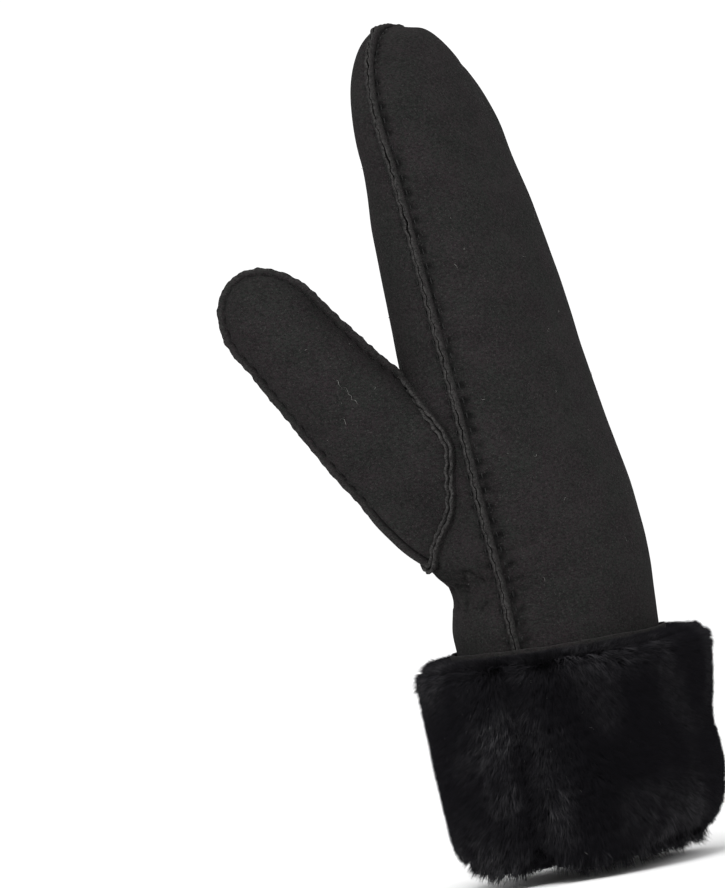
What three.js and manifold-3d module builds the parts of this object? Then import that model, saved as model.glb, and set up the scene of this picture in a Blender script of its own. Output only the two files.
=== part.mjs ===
// A right-hand shearling mitten, stood upright on its turned-back fur cuff. Millimetres, +Z towards the
// fingertips. -Y is the thumb edge of the hand, +Y the little-finger edge, -X the palm and +X the back.
// The hand and the thumb are each two panels of pelt, suede outside and clipped wool inside, sewn edge to
// edge with the raw edges standing outwards as a ridge. The cuff is a band of the same pelt turned wool side
// out. The origin is the middle of the whole mitten's box, on the surface that it stands on.
import * as THREE from "three";
import { mergeVertices } from "three/addons/utils/BufferGeometryUtils.js";
import Module from "manifold-3d";

const wasm = await Module();
wasm.setup();

// Driving dimensions
const mittenLength = 300; // floor to the ridge at the fingertips
const handWidth = 104; // across the knuckles, over the panels and without the ridge
const handDepth = 56; // palm to back, as stuffed
const fingertipDome = 41.5; // height of the rounded end
const peltThickness = 5; // skin with its clipped wool
const ridgeHeight = 2.6; // how far the sewn edges stand proud
const ridgeHide = 1.3; // one raw edge of the ridge
const seamGap = 0.3; // between two pieces that are sewn or lie together

const thumbWidth = 40;
const thumbDepth = 29;
const thumbReach = 88; // from the middle of its root on the palm to its tip
const thumbDome = 21;
const thumbSplay = 38; // degrees away from the fingers
const thumbTurn = 17; // degrees from straight off the palm, towards the thumb edge
const thumbRootHeight = 149;
const thumbRootAngle = 47; // degrees round the palm from the thumb edge

const cuffHeight = 81;
const cuffWidth = 129; // over the pile at the top, without the locks
const cuffDepth = 90;
const cuffSquare = 2.3; // 2 is an ellipse, and more is squarer
const cuffTaper = 3.5; // degrees that each side leans in towards the floor
const cuffHide = 1.5; // skin of the turned-back band
const pressedRidge = 0.8; // what the hand's ridge keeps under the cuff
const floorPile = 8; // pile under the fold that the mitten stands on
const cuffTopRound = 4;
const cuffFootRound = 15; // height of the rounded foot
const cuffFootAcross = 11; // how far it draws in at the edges of the hand
const cuffFootDeep = 5.5; // and at the palm and the back
const mouthRound = 2;
const partingDepth = 4; // the pile parts over the side seam
const partingWidth = 6;
const lockLength = 19;
const lockWidth = 14;
const lockStand = 2;
const lockSink = 2;

// Shares of the sizes above, from the fold up to where the rounded end starts
const handForm = [
  { up: 0.0, thumbEdge: 0.45, outerEdge: 0.45, back: 0.61, palm: 0.605, lean: 0.0 },
  { up: 0.22, thumbEdge: 0.45, outerEdge: 0.45, back: 0.61, palm: 0.605, lean: 0.0 },
  { up: 0.27, thumbEdge: 0.45, outerEdge: 0.45, back: 0.61, palm: 0.605, lean: 0.0 },
  { up: 0.3, thumbEdge: 0.442, outerEdge: 0.44, back: 0.625, palm: 0.6, lean: -0.014 },
  { up: 0.345, thumbEdge: 0.424, outerEdge: 0.42, back: 0.645, palm: 0.53, lean: -0.04 },
  { up: 0.39, thumbEdge: 0.45, outerEdge: 0.452, back: 0.635, palm: 0.59, lean: -0.055 },
  { up: 0.45, thumbEdge: 0.482, outerEdge: 0.474, back: 0.59, palm: 0.585, lean: -0.07 },
  { up: 0.52, thumbEdge: 0.5, outerEdge: 0.48, back: 0.52, palm: 0.555, lean: -0.093 },
  { up: 0.6, thumbEdge: 0.494, outerEdge: 0.474, back: 0.486, palm: 0.525, lean: -0.143 },
  { up: 0.683, thumbEdge: 0.474, outerEdge: 0.462, back: 0.464, palm: 0.487, lean: -0.209 },
  { up: 0.773, thumbEdge: 0.454, outerEdge: 0.45, back: 0.428, palm: 0.44, lean: -0.28 },
  { up: 0.853, thumbEdge: 0.437, outerEdge: 0.437, back: 0.384, palm: 0.366, lean: -0.35 },
  { up: 1.0, thumbEdge: 0.437, outerEdge: 0.437, back: 0.384, palm: 0.366, lean: -0.5 },
];

// The same for the thumb, from its buried root up, with the lower edge first
const thumbForm = [
  { up: 0.0, thumbEdge: 0.38, outerEdge: 0.5, back: 0.54, palm: 0.48, lean: 0.0 },
  { up: 0.08, thumbEdge: 0.43, outerEdge: 0.5, back: 0.55, palm: 0.49, lean: 0.0 },
  { up: 0.17, thumbEdge: 0.5, outerEdge: 0.495, back: 0.56, palm: 0.5, lean: 0.0 },
  { up: 0.27, thumbEdge: 0.525, outerEdge: 0.48, back: 0.56, palm: 0.5, lean: 0.0 },
  { up: 0.45, thumbEdge: 0.5, outerEdge: 0.445, back: 0.53, palm: 0.49, lean: 0.0 },
  { up: 0.62, thumbEdge: 0.455, outerEdge: 0.41, back: 0.49, palm: 0.47, lean: 0.0 },
  { up: 0.83, thumbEdge: 0.395, outerEdge: 0.385, back: 0.44, palm: 0.43, lean: 0.0 },
  { up: 1.0, thumbEdge: 0.39, outerEdge: 0.38, back: 0.43, palm: 0.42, lean: 0.0 },
];

// How finely the forms are divided
const handRows = 22;
const domeRows = 8;
const thumbRows = 9;
const thumbDomeRows = 6;
const panelArc = 14;
const cornerSteps = 3;
const lockRows = 4;
const locksAround = 26;

const pinch = 0.28; // how much the section narrows beside a seam
const pinchReach = 0.4;

// A smooth curve through one column of a table, by Catmull-Rom tangents on uneven steps
function columnAt(table, column, up) {
  const last = table.length - 1;
  let i = 0;
  while (i < last - 1 && up > table[i + 1].up) i += 1;
  const slope = (k) => {
    const before = table[Math.max(k - 1, 0)];
    const after = table[Math.min(k + 1, last)];
    return (after[column] - before[column]) / (after.up - before.up);
  };
  const low = table[i];
  const high = table[i + 1];
  const span = high.up - low.up;
  const t = THREE.MathUtils.clamp((up - low.up) / span, 0, 1);
  const t2 = t * t;
  const t3 = t2 * t;
  return (
    (2 * t3 - 3 * t2 + 1) * low[column] +
    (t3 - 2 * t2 + t) * span * slope(i) +
    (3 * t2 - 2 * t3) * high[column] +
    (t3 - t2) * span * slope(i + 1)
  );
}

// A form is stuffed and seamed round its outline: rows of sections that end in a rounded tip.
function makeForm({ table, start, tip, dome, width, depth, straightRows, roundRows, ridgeAt }) {
  const shoulder = tip - dome;
  const sized = (z) => {
    const up = z / tip;
    return {
      thumbEdge: columnAt(table, "thumbEdge", up) * width,
      outerEdge: columnAt(table, "outerEdge", up) * width,
      back: columnAt(table, "back", up) * depth,
      palm: columnAt(table, "palm", up) * depth,
      lean: columnAt(table, "lean", up) * depth,
    };
  };
  const rows = [];
  for (let i = 0; i < straightRows; i += 1) {
    const z = start + ((shoulder - start) * i) / straightRows;
    rows.push({ ...sized(z), base: z, rise: 0, narrow: 1, ridge: ridgeAt(z) });
  }
  for (let i = 0; i <= roundRows; i += 1) {
    const angle = ((Math.PI / 2) * i) / roundRows;
    const rise = i === roundRows ? 1 : Math.sin(angle);
    const narrow = i === roundRows ? 0 : Math.cos(angle);
    const z = shoulder + dome * rise;
    rows.push({ ...sized(shoulder), lean: sized(z).lean, base: shoulder, rise, narrow, ridge: ridgeAt(z) });
  }
  return { rows, dome, rowAt: (z) => ({ ...sized(z), base: z, rise: 0, narrow: 1, ridge: ridgeAt(z) }) };
}

// A point of a form's section. turn runs from 0 at the thumb edge to PI at the outer edge, on one side of
// the seam; grow moves the surface out, and foot is where the section meets the seam's ridge.
function sectionPoint(form, row, side, turn, grow, foot) {
  const across = Math.sin(turn);
  const full = across * (1 - pinch * Math.exp(-((across / pinchReach) ** 2)));
  const depth = (side > 0 ? row.back : row.palm) + grow - foot;
  const half = (Math.cos(turn) > 0 ? row.thumbEdge : row.outerEdge) + grow;
  return new THREE.Vector3(
    row.lean + side * (foot + depth * row.narrow * full),
    -half * row.narrow * Math.cos(turn),
    row.base + (form.dome + grow) * row.rise,
  );
}

// A closed skin over loops of points. Each loop is one section: the first is capped, and so is the last unless
// it closes on itself. A ring of loops has no caps, as its last loop meets the first.
function skin(loops, { ring = false } = {}) {
  const count = loops[0].length;
  const at = (i, j) => (i % loops.length) * count + (j % count);
  const faces = [];
  for (let i = 0; i < (ring ? loops.length : loops.length - 1); i += 1) {
    for (let j = 0; j < count; j += 1) {
      faces.push([at(i, j), at(i, j + 1), at(i + 1, j + 1)]);
      faces.push([at(i, j), at(i + 1, j + 1), at(i + 1, j)]);
    }
  }
  if (!ring) {
    const flat = loops[0].map((p) => new THREE.Vector2(p.x, p.y));
    const turned = THREE.ShapeUtils.isClockWise(flat);
    THREE.ShapeUtils.triangulateShape(flat, []).forEach(([a, b, c]) => {
      faces.push(turned ? [a, b, c] : [c, b, a]);
    });
  }
  return solidOf(loops.flat(), faces);
}

// A solid from points and faces, with shared points joined, empty faces dropped and its faces turned outwards
function solidOf(points, faces) {
  const geometry = new THREE.BufferGeometry().setFromPoints(points).setIndex(faces.flat());
  const merged = mergeVertices(geometry, 1e-4);
  const index = [...merged.index.array];
  const position = merged.attributes.position;
  const corner = (k) => new THREE.Vector3().fromBufferAttribute(position, k);
  const kept = [];
  let volume = 0;
  for (let k = 0; k < index.length; k += 3) {
    const [a, b, c] = index.slice(k, k + 3);
    if (a === b || b === c || a === c) continue;
    kept.push(a, b, c);
    volume += corner(a).dot(corner(b).cross(corner(c)));
  }
  if (volume < 0) kept.reverse();
  return new wasm.Manifold(
    new wasm.Mesh({
      numProp: 3,
      vertProperties: new Float32Array(position.array),
      triVerts: new Uint32Array(kept),
    }),
  );
}

// One panel of a form: its wall, and an edge turned outwards along the seam
function panel(form, side) {
  const seam = seamGap / 2;
  const foot = seam + ridgeHide;
  const turns = Array.from({ length: panelArc + 1 }, (_, k) => (Math.PI * k) / panelArc);
  const loops = form.rows.map((row) => {
    const ridge = (turn, off) => sectionPoint(form, row, side, turn, row.ridge, off);
    return [
      ridge(0, seam),
      ridge(0, foot),
      ...turns.map((turn) => sectionPoint(form, row, side, turn, 0, foot)),
      ridge(Math.PI, foot),
      ridge(Math.PI, seam),
      ...[...turns].reverse().map((turn) => sectionPoint(form, row, side, turn, -peltThickness, seam)),
    ];
  });
  return skin(loops);
}

// The whole form as one solid, its surface moved out by grow
function filled(form, grow) {
  const foot = seamGap / 2 + ridgeHide;
  const turns = Array.from({ length: panelArc + 1 }, (_, k) => (Math.PI * k) / panelArc);
  return skin(
    form.rows.map((row) => [
      ...turns.map((turn) => sectionPoint(form, row, 1, turn, grow, foot)),
      ...[...turns].reverse().map((turn) => sectionPoint(form, row, -1, turn, grow, foot)),
    ]),
  );
}

// One side of a form as a solid, up to its seam, with its surface moved out by grow
function filledHalf(form, side, grow) {
  const seam = seamGap / 2;
  const turns = Array.from({ length: panelArc + 1 }, (_, k) => (Math.PI * k) / panelArc);
  return skin(form.rows.map((row) => turns.map((turn) => sectionPoint(form, row, side, turn, grow, seam))));
}

const handTip = mittenLength - ridgeHeight;
const hand = makeForm({
  table: handForm,
  start: floorPile + cuffHide + 2 * seamGap,
  tip: handTip,
  dome: fingertipDome,
  width: handWidth,
  depth: handDepth,
  straightRows: handRows,
  roundRows: domeRows,
  ridgeAt: (z) =>
    THREE.MathUtils.lerp(pressedRidge, ridgeHeight, THREE.MathUtils.smoothstep(z, cuffHeight, cuffHeight + 12)),
});

const thumbBuried = 0.6 * handDepth;
const thumbLength = thumbBuried + thumbReach;
const thumb = makeForm({
  table: thumbForm,
  start: 0,
  tip: thumbLength,
  dome: thumbDome,
  width: thumbWidth,
  depth: thumbDepth,
  straightRows: thumbRows,
  roundRows: thumbDomeRows,
  ridgeAt: () => ridgeHeight,
});

// Where the thumb leaves the palm, and the frame it is built in: X out of its front panel, Y from its lower
// edge to its upper edge, Z to its tip
function placeThumb() {
  const up = thumbRootHeight / handTip;
  const turn = THREE.MathUtils.degToRad(thumbRootAngle);
  const root = new THREE.Vector3(
    columnAt(handForm, "lean", up) * handDepth - columnAt(handForm, "palm", up) * handDepth * Math.sin(turn),
    -columnAt(handForm, "thumbEdge", up) * handWidth * Math.cos(turn),
    thumbRootHeight,
  );
  const splay = THREE.MathUtils.degToRad(thumbSplay);
  const matrix = new THREE.Matrix4().makeRotationZ(THREE.MathUtils.degToRad(thumbTurn));
  matrix.multiply(
    new THREE.Matrix4().makeBasis(
      new THREE.Vector3(0, -1, 0),
      new THREE.Vector3(Math.cos(splay), 0, Math.sin(splay)),
      new THREE.Vector3(-Math.sin(splay), 0, Math.cos(splay)),
    ),
  );
  const along = new THREE.Vector3().setFromMatrixColumn(matrix, 2);
  return matrix.setPosition(root.addScaledVector(along, -thumbBuried));
}
const thumbMatrix = placeThumb();
const intoHand = (solid) => solid.transform(thumbMatrix.toArray());
const intoThumb = (solid) => solid.transform(thumbMatrix.clone().invert().toArray());

// The palm has a hole into the thumb, and its edge turns out round the thumb's own
function palmPanel() {
  const collar = filled(thumb, 2 * ridgeHide + seamGap).subtract(filled(thumb, ridgeHide + seamGap));
  const raised = filledHalf(hand, -1, ridgeHeight).subtract(filledHalf(hand, -1, -peltThickness / 2));
  const outer = wasm.Manifold.cube([200, 200, 200], true).translate([0, 0, thumbBuried / 2 + 100]);
  return panel(hand, -1)
    .add(intoHand(collar.intersect(outer)).intersect(raised))
    .subtract(intoHand(filled(thumb, -peltThickness)));
}

// A thumb panel ends on the palm, where its edge turns out. Its own seam stops above the palm's edge.
function thumbPanel(side) {
  const raised = intoThumb(filled(hand, ridgeHeight));
  const above = intoThumb(filled(hand, ridgeHeight + seamGap)).subtract(filled(thumb, ridgeHide));
  const turned = filled(thumb, ridgeHide).subtract(filled(thumb, -ridgeHide)).intersect(raised);
  const halfSpace = wasm.Manifold.cube([100, 200, 400], true).translate([side * (50 + seamGap / 2), 0, 0]);
  return panel(thumb, side)
    .subtract(above)
    .add(turned.intersect(halfSpace))
    .subtract(intoThumb(filled(hand, seamGap)));
}

// A point on the flat faces of the hand's own outline at height z, moved out by grow
function besideHand(side, turn, grow, z) {
  const step = Math.PI / panelArc;
  const k = Math.min(Math.floor(turn / step + 1e-6), panelArc - 1);
  const at = (station) => sectionPoint(hand, hand.rowAt(z), side, station * step, grow, seamGap / 2 + ridgeHide);
  return at(k).lerp(at(k + 1), turn / step - k);
}

// A point of the cuff's outline at height z, inset from its widest across the edges and through its depth. The
// parting is a groove in the pile over the side seam.
function cuffPoint(side, turn, z, insetAcross = 0, insetDeep = insetAcross) {
  const lean = Math.tan(THREE.MathUtils.degToRad(cuffTaper)) * (cuffHeight - z);
  const power = 2 / cuffSquare;
  const across = Math.sin(turn) ** power;
  const along = Math.sign(Math.cos(turn)) * Math.abs(Math.cos(turn)) ** power;
  const x = side * (cuffDepth / 2 - insetDeep - lean) * across;
  const groove = along < 0 ? 0 : partingDepth * Math.exp(-((x / partingWidth) ** 2));
  return new THREE.Vector3(x, -(cuffWidth / 2 - insetAcross - lean) * along + groove, z);
}

// The turns of a cuff's columns: the hand's own, and more beside the parting
function cuffTurns() {
  const stations = Array.from({ length: panelArc + 1 }, (_, k) => k);
  return [...stations, 0.2, 0.4, 0.7, 1.5].sort((a, b) => a - b).map((station) => (Math.PI * station) / panelArc);
}

// The turned-back skin: it stands round the hand, and passes under the hand's lower edge at the fold
function cuffBand() {
  const inside = pressedRidge + seamGap;
  const under = floorPile + seamGap;
  const turns = Array.from({ length: panelArc + 1 }, (_, k) => (Math.PI * k) / panelArc);
  const columns = (side) =>
    turns.map((turn) => [
      besideHand(side, turn, inside + cuffHide, under),
      besideHand(side, turn, inside + cuffHide, cuffHeight),
      besideHand(side, turn, inside, cuffHeight),
      besideHand(side, turn, inside, under + cuffHide),
      besideHand(side, turn, -peltThickness, under + cuffHide),
      besideHand(side, turn, -peltThickness, under),
    ]);
  return skin([...columns(1), ...columns(-1).reverse()], { ring: true });
}

// The pile: round the band, under the fold and into the mouth
function pileBody() {
  const inside = pressedRidge + cuffHide + 2 * seamGap;
  const top = cuffHeight - 1;
  const corner = (at) =>
    Array.from({ length: cornerSteps + 1 }, (_, k) => {
      const angle = (Math.PI / 2) * (k / cornerSteps);
      return at(1 - Math.cos(angle), 1 - Math.sin(angle));
    });
  const profile = (side, turn) => [
    besideHand(side, turn, inside, floorPile),
    besideHand(side, turn, inside, top),
    ...corner((inset, drop) => cuffPoint(side, turn, top - cuffTopRound * drop, cuffTopRound * inset)).reverse(),
    cuffPoint(side, turn, (top + cuffFootRound) / 2),
    ...corner((inset, rise) =>
      cuffPoint(side, turn, cuffFootRound * rise, cuffFootAcross * inset, cuffFootDeep * inset),
    ),
    besideHand(side, turn, mouthRound - peltThickness, 0),
    besideHand(side, turn, -peltThickness, mouthRound),
    besideHand(side, turn, -peltThickness, floorPile),
  ];
  const turns = cuffTurns();
  return skin([...turns.map((turn) => profile(1, turn)), ...[...turns].reverse().map((turn) => profile(-1, turn))], {
    ring: true,
  });
}

// One lock lies down the pile with its tip standing out
function lock(side, turn, z) {
  const at = (shift, off, height) => {
    const middle = cuffPoint(side, turn, z);
    const beside = cuffPoint(side, Math.min(turn + 0.02, Math.PI), z).sub(
      cuffPoint(side, Math.max(turn - 0.02, 0), z),
    );
    beside.normalize();
    const out = new THREE.Vector3(beside.y, -beside.x, 0);
    if (out.dot(middle) < 0) out.negate();
    return middle.addScaledVector(beside, shift).addScaledVector(out, off).setZ(z + height);
  };
  const half = lockLength / 2;
  const points = [
    at(0, -lockSink, half),
    at(lockWidth / 2, -lockSink, 0),
    at(0, -2 * lockSink, -half / 2),
    at(-lockWidth / 2, -lockSink, 0),
    at(0, lockStand * 0.7, half / 3),
    at(0, lockStand, -half),
  ];
  return wasm.Manifold.hull(points.map((p) => p.toArray()));
}

// The locks stand in rows round the pile, each row half a lock on from the row above
function cuffPile() {
  const low = cuffFootRound + lockLength / 2;
  const high = cuffHeight - cuffTopRound - lockLength / 2;
  const locks = [];
  for (let row = 0; row < lockRows; row += 1) {
    const z = THREE.MathUtils.lerp(low, high, row / (lockRows - 1));
    for (let k = 0; k < locksAround; k += 1) {
      const share = ((k + 0.5 + (row % 2) / 2) / locksAround) * 2;
      const side = share % 2 < 1 ? 1 : -1;
      const turn = Math.PI * (side > 0 ? share % 2 : 2 - (share % 2));
      locks.push(lock(side, turn, z));
    }
  }
  return wasm.Manifold.union([pileBody(), ...locks]);
}

// A named mesh of a solid
function meshOf(solid, name, look) {
  const found = solid.getMesh();
  const geometry = new THREE.BufferGeometry()
    .setAttribute("position", new THREE.BufferAttribute(found.vertProperties, 3))
    .setIndex(new THREE.BufferAttribute(found.triVerts, 1));
  const mesh = new THREE.Mesh(geometry, new THREE.MeshStandardMaterial({ ...look, metalness: 0 }));
  mesh.name = name;
  return mesh;
}

const suede = { color: 0x2b2827, roughness: 0.9 };
const hide = { color: 0x2f2c2a, roughness: 0.85 };
const fur = { color: 0x131214, roughness: 1 };
const thumbPieces = new THREE.Group();
thumbPieces.applyMatrix4(thumbMatrix);
thumbPieces.add(
  meshOf(thumbPanel(1), "thumb_front_panel", suede),
  meshOf(thumbPanel(-1), "thumb_back_panel", suede),
);
const pieces = new THREE.Group();
pieces.add(
  meshOf(panel(hand, 1), "back_panel", suede),
  meshOf(palmPanel(), "palm_panel", suede),
  thumbPieces,
  meshOf(cuffBand(), "cuff_band", hide),
  meshOf(cuffPile(), "cuff_fur", fur),
);

// The origin is under the middle of the whole box
const middle = new THREE.Box3().setFromObject(pieces, true).getCenter(new THREE.Vector3());
pieces.position.set(-middle.x, -middle.y, 0);
const mitten = new THREE.Group();
mitten.name = "mitten";
mitten.add(pieces);
export default mitten;
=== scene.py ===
"""A right-hand shearling mitten stood on its turned-back fur cuff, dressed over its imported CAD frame.

Shapes are worked out in millimetres in the hand's own frame: Z from the floor to the fingertips, -Y the
thumb edge, -X the palm, with Z = 0 on the floor and the hand's axis at X = Y = 0. to_row then puts them in
the frame of the CAD model, in metres.
"""

import math
import random

import bmesh
import bpy
from mathutils import Matrix, Vector, noise


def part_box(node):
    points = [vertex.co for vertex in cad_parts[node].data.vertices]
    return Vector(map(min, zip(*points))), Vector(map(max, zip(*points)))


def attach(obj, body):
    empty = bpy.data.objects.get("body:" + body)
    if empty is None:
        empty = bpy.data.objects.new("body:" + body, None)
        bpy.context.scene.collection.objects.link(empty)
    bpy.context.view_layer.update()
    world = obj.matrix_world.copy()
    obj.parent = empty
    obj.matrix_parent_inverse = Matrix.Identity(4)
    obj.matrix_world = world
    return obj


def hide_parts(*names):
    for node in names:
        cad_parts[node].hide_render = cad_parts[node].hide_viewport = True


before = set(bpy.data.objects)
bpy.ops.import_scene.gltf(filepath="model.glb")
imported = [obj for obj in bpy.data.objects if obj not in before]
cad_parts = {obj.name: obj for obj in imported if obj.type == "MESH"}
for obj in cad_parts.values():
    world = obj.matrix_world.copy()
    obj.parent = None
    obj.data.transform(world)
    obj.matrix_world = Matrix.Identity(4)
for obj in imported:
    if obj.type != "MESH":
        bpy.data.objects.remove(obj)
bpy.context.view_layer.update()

# Sizes of the mitten, in millimetres, as in the part
MITTEN_LENGTH = 300
HAND_WIDTH = 104
HAND_DEPTH = 56
FINGERTIP_DOME = 41.5
PELT_THICKNESS = 5
RIDGE_HEIGHT = 2.6
HAND_TIP = MITTEN_LENGTH - RIDGE_HEIGHT
HAND_FOOT = 10.1

THUMB_WIDTH = 40
THUMB_DEPTH = 29
THUMB_REACH = 88
THUMB_DOME = 21
THUMB_SPLAY = math.radians(38)
THUMB_TURN = math.radians(17)
THUMB_ROOT_HEIGHT = 149
THUMB_ROOT_ANGLE = math.radians(47)
THUMB_BURIED = 0.6 * HAND_DEPTH
THUMB_LENGTH = THUMB_BURIED + THUMB_REACH

CUFF_HEIGHT = 81
CUFF_WIDTH = 129
CUFF_DEPTH = 90
CUFF_SQUARE = 2.3
CUFF_TAPER = math.radians(3.5)
CUFF_HIDE = 1.5
PARTING_DEPTH = 4
PARTING_WIDTH = 6
FLOOR_PILE = 8

# Sizes of the sewing
STITCH_PITCH = 5.3
HAND_SEED, THUMB_SEED, JOINT_SEED = 1.0, 2.0, 3.0
HIDE = 1.35
SEAM_HALF_GAP = 0.15
SEAM_OVERLAP = 0.04
FOOT = SEAM_HALF_GAP + HIDE
THREAD_RADIUS = 0.34
# Places along a stitch's thread and how high it lies there
STITCH_ARC = ((-1.5, -0.75), (-0.75, 0.0), (0, 0.24), (0.75, 0.0), (1.5, -0.75))

# Fineness of the panels: columns over a hand's and a thumb's wall, and millimetres from row to row
HAND_COLUMNS, THUMB_COLUMNS = 64, 44
ROW_PITCH = 0.85

HAND_AXIS = (Vector(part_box("cuff_band")[0]) + Vector(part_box("cuff_band")[1])) / 2
HAND_AXIS.z = 0

# Shares of the sizes above: how far up, then the two half widths, the two half depths and the lean
HAND_FORM = [
    (0.0, 0.45, 0.45, 0.61, 0.605, 0.0),
    (0.22, 0.45, 0.45, 0.61, 0.605, 0.0),
    (0.27, 0.45, 0.45, 0.61, 0.605, 0.0),
    (0.3, 0.442, 0.44, 0.625, 0.6, -0.014),
    (0.345, 0.424, 0.42, 0.645, 0.53, -0.04),
    (0.39, 0.45, 0.452, 0.635, 0.59, -0.055),
    (0.45, 0.482, 0.474, 0.59, 0.585, -0.07),
    (0.52, 0.5, 0.48, 0.52, 0.555, -0.093),
    (0.6, 0.494, 0.474, 0.486, 0.525, -0.143),
    (0.683, 0.474, 0.462, 0.484, 0.487, -0.209),
    (0.773, 0.454, 0.45, 0.45, 0.44, -0.28),
    (0.853, 0.437, 0.437, 0.4, 0.366, -0.35),
    (1.0, 0.437, 0.437, 0.4, 0.366, -0.515),
]
THUMB_FORM = [
    (0.0, 0.38, 0.5, 0.54, 0.48, 0.0),
    (0.08, 0.43, 0.5, 0.55, 0.49, 0.0),
    (0.17, 0.5, 0.495, 0.56, 0.5, 0.0),
    (0.27, 0.565, 0.46, 0.56, 0.5, 0.0),
    (0.45, 0.542, 0.4, 0.53, 0.49, 0.0),
    (0.62, 0.478, 0.36, 0.49, 0.47, 0.0),
    (0.83, 0.4, 0.36, 0.44, 0.43, 0.0),
    (1.0, 0.39, 0.37, 0.43, 0.42, 0.0),
]
UP, THUMB_EDGE, OUTER_EDGE, BACK, PALM, LEAN = range(6)
TIP_CROWN = 1.7
PINCH = 0.28
PINCH_REACH = 0.4


def smoothstep(value, low, high):
    share = min(max((value - low) / (high - low), 0.0), 1.0)
    return share * share * (3 - 2 * share)


def mix(low, high, share):
    return low + (high - low) * share


def bell(distance, width):
    return math.exp(-((distance / width) ** 2))


def rough(point, size, seed=0):
    """Smooth noise from -1 to 1, about size millimetres across."""
    return noise.noise(Vector(point) / size + Vector((seed * 7.3, seed * 3.1, seed * 5.7)))


class Form:
    """A stuffed form seamed round its outline, in rows of sections that end in a rounded tip."""

    def __init__(self, table, tip, dome, width, depth, fitted, blunt=False):
        self.table = table
        self.fitted = fitted
        self.tip = tip
        self.dome = dome
        self.width = width
        self.depth = depth
        self.shoulder = tip - dome
        self.blunt = blunt
        self.length = self.shoulder + dome * math.pi / 2

    def sew(self, place, relief, seed, seam_start, start_way):
        """Sets the form's place, small relief and stitch seed, and where its seam and its panels start."""
        self.place = place
        self.relief = relief
        self.seed = seed
        self.start_way = start_way
        self.seam = Seam(self, seam_start)

    def stitch(self, way, outer):
        return sewn(self.seam.along(way, outer), self.seed)

    def column(self, column, up):
        table = self.table
        last = len(table) - 1
        i = 0
        while i < last - 1 and up > table[i + 1][UP]:
            i += 1

        def slope(k):
            before = table[max(k - 1, 0)]
            after = table[min(k + 1, last)]
            return (after[column] - before[column]) / (after[UP] - before[UP])

        low, high = table[i], table[i + 1]
        span = high[UP] - low[UP]
        t = min(max((up - low[UP]) / span, 0.0), 1.0)
        return (
            (2 * t**3 - 3 * t**2 + 1) * low[column]
            + (t**3 - 2 * t**2 + t) * span * slope(i)
            + (3 * t**2 - 2 * t**3) * high[column]
            + (t**3 - t**2) * span * slope(i + 1)
        )

    def row(self, way):
        """The section at a way along the form, measured up its side and then round its tip."""
        if way <= self.shoulder:
            base, rise, narrow = way, 0.0, 1.0
            height = way
        else:
            angle = min((way - self.shoulder) / self.dome, math.pi / 2)
            base, rise, narrow = self.shoulder, math.sin(angle), max(math.cos(angle), 0.0)
            height = self.shoulder + self.dome * rise
        up = base / self.tip
        back_narrow = palm_narrow = narrow
        if self.blunt:
            # The back's arch over the fingertips is squarer than a circle, and the palm's is flatter
            back_narrow = narrow ** (0.27 + 0.48 * narrow + 0.5 * narrow**8)
            palm_narrow = narrow * (1 - 0.2 * rise * narrow)
        return {
            "thumb_edge": self.column(THUMB_EDGE, up) * self.width,
            "outer_edge": self.column(OUTER_EDGE, up) * self.width,
            "back": self.column(BACK, up) * self.depth,
            "palm": self.column(PALM, up) * self.depth,
            "lean": self.column(LEAN, height / self.tip) * self.depth,
            "base": base,
            "rise": rise,
            "narrow": narrow,
            "back_narrow": back_narrow,
            "palm_narrow": palm_narrow,
            "height": height,
        }

    def point(self, row, side, turn, grow=0.0, foot=FOOT):
        across = math.sin(turn)
        full = across * (1 - PINCH * bell(across, PINCH_REACH))
        depth = row["back" if side > 0 else "palm"] + grow - foot
        half = row["thumb_edge" if turn < math.pi / 2 else "outer_edge"] + grow
        deeper, wider = self.fitted(row["base"], side, turn)
        depth += deeper
        half += wider
        out = foot + depth * row["back_narrow" if side > 0 else "palm_narrow"] * full
        crown = TIP_CROWN * row["rise"] ** 8 * bell(out - foot, 6) if self.blunt else 0.0
        return Vector(
            (
                row["lean"] + side * out,
                -half * row["narrow"] * math.cos(turn),
                row["base"] + (self.dome + grow) * row["rise"] + crown,
            )
        )

    def normal(self, way, side, turn):
        """Outwards from the wall, found from two short steps along it."""
        step = 0.6
        turn = min(max(turn, 0.02), math.pi - 0.02)
        low, high = max(way - step, 0), min(way + step, self.length - 0.2)
        along = self.point(self.row(high), side, turn) - self.point(self.row(low), side, turn)
        here = self.row(min(way, self.length - 0.4))
        around = self.point(here, side, turn + 0.01) - self.point(here, side, turn - 0.01)
        out = around.cross(along) * side
        return out.normalized()


def thumb_root_fit(way, side, turn):
    """How the thumb's front is eased over the palm: fuller above its root, flatter and longer below."""
    near = 1 - smoothstep(way, 22, 72)
    deeper = 0.0
    if side > 0:
        deeper = near * (11.0 * bell(turn - 2.5, 0.5) - 9.0 * bell(turn - 0.6, 0.65))
    wider = (1 - smoothstep(way, 10, 42)) * 6.0 * max(math.cos(turn), 0.0) ** 2
    return deeper, wider


def palm_fit(way, side, turn):
    """The palm drawn out to the foot of the thumb's joint."""
    if side > 0:
        return 0.0, 0.0
    low = way - 112
    return 12.0 * bell(low, 6.0 if low < 0 else 10) * bell(turn - 0.5, 0.45), 0.0


hand = Form(HAND_FORM, HAND_TIP, FINGERTIP_DOME, HAND_WIDTH, HAND_DEPTH, palm_fit, blunt=True)
thumb = Form(THUMB_FORM, THUMB_LENGTH, THUMB_DOME, THUMB_WIDTH, THUMB_DEPTH, thumb_root_fit)


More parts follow.
